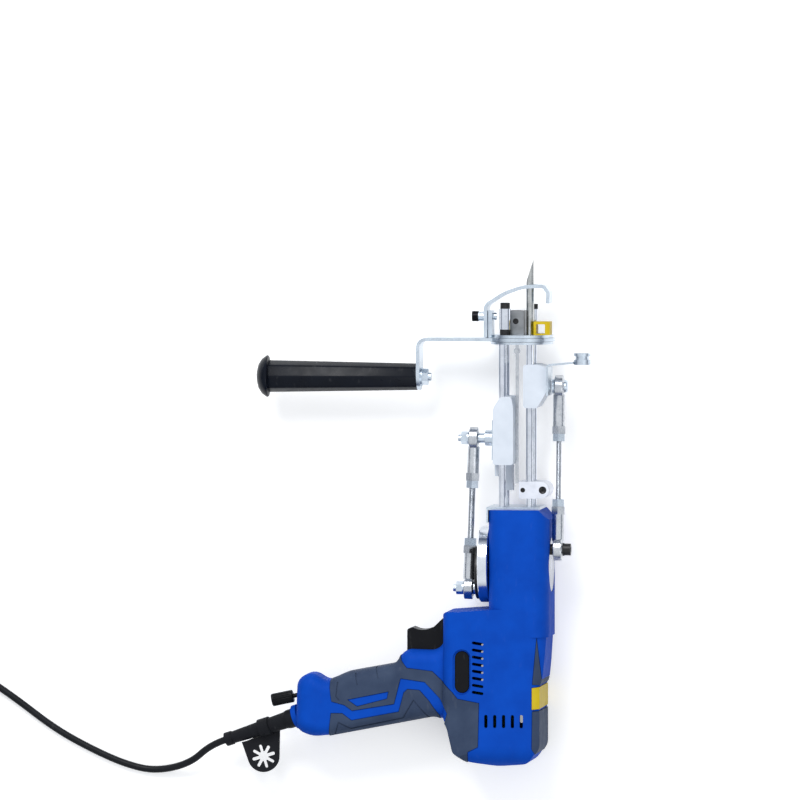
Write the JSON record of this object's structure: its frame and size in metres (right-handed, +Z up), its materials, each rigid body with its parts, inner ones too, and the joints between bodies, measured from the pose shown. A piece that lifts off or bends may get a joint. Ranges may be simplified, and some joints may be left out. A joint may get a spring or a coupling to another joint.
{
  "type": "handheld tufting machine",
  "caption": "Handheld electric tufting machine: pistol-shaped housing, exposed crank discs and tie rods that drive a hollow needle and scissors on guide rods, side grip, cord.",
  "frame": {"origin": "on the table, under the centre of the machine's bounding box without its cord", "axes": "+Y along the barrel towards the needle, +Z up through the lying machine, away from the table, +X from the handle's end towards the barrel's spine"},
  "size_m": [0.5346, 0.3698, 0.0611],
  "materials": {
    "blue_shell": "fine satin moulded plastic",
    "grey_skin": "matt overmoulded grip",
    "yellow_trim": "satin",
    "silver_plate": "brushed",
    "anodised": "machined satin",
    "steel": "turned",
    "zinc_steel": "bright zinc plate",
    "white_nylon": "machined nylon",
    "dark_steel": "blackened",
    "bright_steel": "polished",
    "black_plastic": "matt",
    "black_rubber": "matt",
    "black_grip": "moulded",
    "brass": "turned",
    "board": "coated board",
    "cord": "satin"
  },
  "bodies": {
    "machine": {"housing_front": "blue_shell", "housing_back": "blue_shell", "grip_skin_front": "grey_skin", "grip_skin_back": "grey_skin", "spine_skins": "grey_skin", "yellow_tab": "yellow_trim", "top_plate": "silver_plate", "gearbox_frame": "anodised", "shaft_bearings": "steel", "motor_can": "steel", "switch_body": "black_plastic", "speed_control": "black_plastic", "control_board": "board", "housing_screws": "dark_steel", "guide_rods": "steel", "clamp_block": "anodised", "lower_plate": "anodised", "grip_bracket": "zinc_steel", "upper_plate": "anodised", "side_grip": "black_grip", "grip_bolt": "steel", "needle_guide": "anodised", "pillars": "steel", "head_screws": "dark_steel", "yarn_window": "yellow_trim", "strain_relief": "black_rubber", "key_holder": "black_rubber", "power_cord": "cord", "cord_coil": "cord", "cord_tie": "black_plastic", "dc_socket": "black_plastic"},
    "crankshaft": {"crank_shaft": "steel", "left_crank_disc": "white_nylon", "stroke_plate": "anodised", "left_crank_pin": "steel", "right_crank_disc": "anodised", "right_crank_pin": "dark_steel", "driven_gear": "brass"},
    "rotor": {"motor_rotor": "steel", "bevel_pinion": "brass"},
    "left_tie_rod": {"left_rod_ends": "steel", "left_threaded_rod": "steel", "left_lock_nuts": "steel", "left_stud": "steel"},
    "right_tie_rod": {"right_rod_ends": "steel", "right_threaded_rod": "steel", "right_lock_nuts": "steel", "right_stud": "dark_steel"},
    "scissor_carriage": {"scissor_slider": "white_nylon", "side_plate": "steel", "scissor_bar": "steel"},
    "scissor_jaw": {"scissor_blade": "steel"},
    "needle_carriage": {"needle_slider": "white_nylon", "needle": "bright_steel", "yarn_eye": "steel"},
    "presser_foot": {"presser_foot": "steel"},
    "foot_screw": {"foot_screw": "steel"},
    "trigger": {"trigger": "black_plastic"},
    "direction_rocker": {"direction_rocker": "black_plastic"},
    "speed_knob": {"speed_knob": "black_plastic"}
  },
  "joints": [
    {"name": "crank_spin", "type": "hinge", "parent": "machine", "child": "crankshaft", "pos_m": [0.08196, -0.03375, 0.03057], "axis": [1, 0, 0], "continuous": true},
    {"name": "rotor_spin", "type": "hinge", "parent": "machine", "child": "rotor", "pos_m": [0.08196, -0.07225, 0.03057], "axis": [0, 1, 0], "continuous": true},
    {"name": "left_tie_swing", "type": "hinge", "parent": "crankshaft", "child": "left_tie_rod", "pos_m": [0.04416, -0.05075, 0.03057], "axis": [1, 0, 0], "continuous": true},
    {"name": "right_tie_swing", "type": "hinge", "parent": "crankshaft", "child": "right_tie_rod", "pos_m": [0.10876, -0.02255, 0.04055], "axis": [1, 0, 0], "continuous": true},
    {"name": "scissor_slide", "type": "slide", "parent": "machine", "child": "scissor_carriage", "axis": [0, 1, 0], "range_m": [0, 0.034]},
    {"name": "jaw_hinge", "type": "hinge", "parent": "scissor_carriage", "child": "scissor_jaw", "pos_m": [0.07861, 0.11775, 0.03142], "axis": [0, 0, 1], "range_deg": [0, 5], "stiffness_Nm_per_rad": 0.004, "springref_deg": -2.86},
    {"name": "needle_slide", "type": "slide", "parent": "machine", "child": "needle_carriage", "axis": [0, 1, 0], "range_m": [-0.026, 0.0036]},
    {"name": "foot_height", "type": "slide", "parent": "machine", "child": "presser_foot", "axis": [0, 1, 0], "range_m": [0, 0.008]},
    {"name": "foot_screw_turn", "type": "hinge", "parent": "machine", "child": "foot_screw", "pos_m": [0.05396, 0.14225, 0.03057], "axis": [1, 0, 0], "continuous": true},
    {"name": "trigger_pull", "type": "slide", "parent": "machine", "child": "trigger", "axis": [0, -1, 0], "range_m": [0, 0.006], "stiffness_N_per_m": 300, "springref_m": -0.004},
    {"name": "rocker_tilt", "type": "hinge", "parent": "machine", "child": "direction_rocker", "pos_m": [0.04226, -0.10905, 0.05497], "axis": [1, 0, 0], "range_deg": [-7, 7]},
    {"name": "knob_turn", "type": "hinge", "parent": "machine", "child": "speed_knob", "pos_m": [-0.07844, -0.12785, 0.03057], "axis": [-0.9781, -0.2079, 0], "range_deg": [-135, 135]}
  ],
  "couplings": [
    {"joint": "rotor_spin", "follows": "crank_spin", "ratio": 3},
    {"joint": "left_tie_swing", "follows": "crank_spin", "ratio": -1},
    {"joint": "right_tie_swing", "follows": "crank_spin", "ratio": -1}
  ]
}
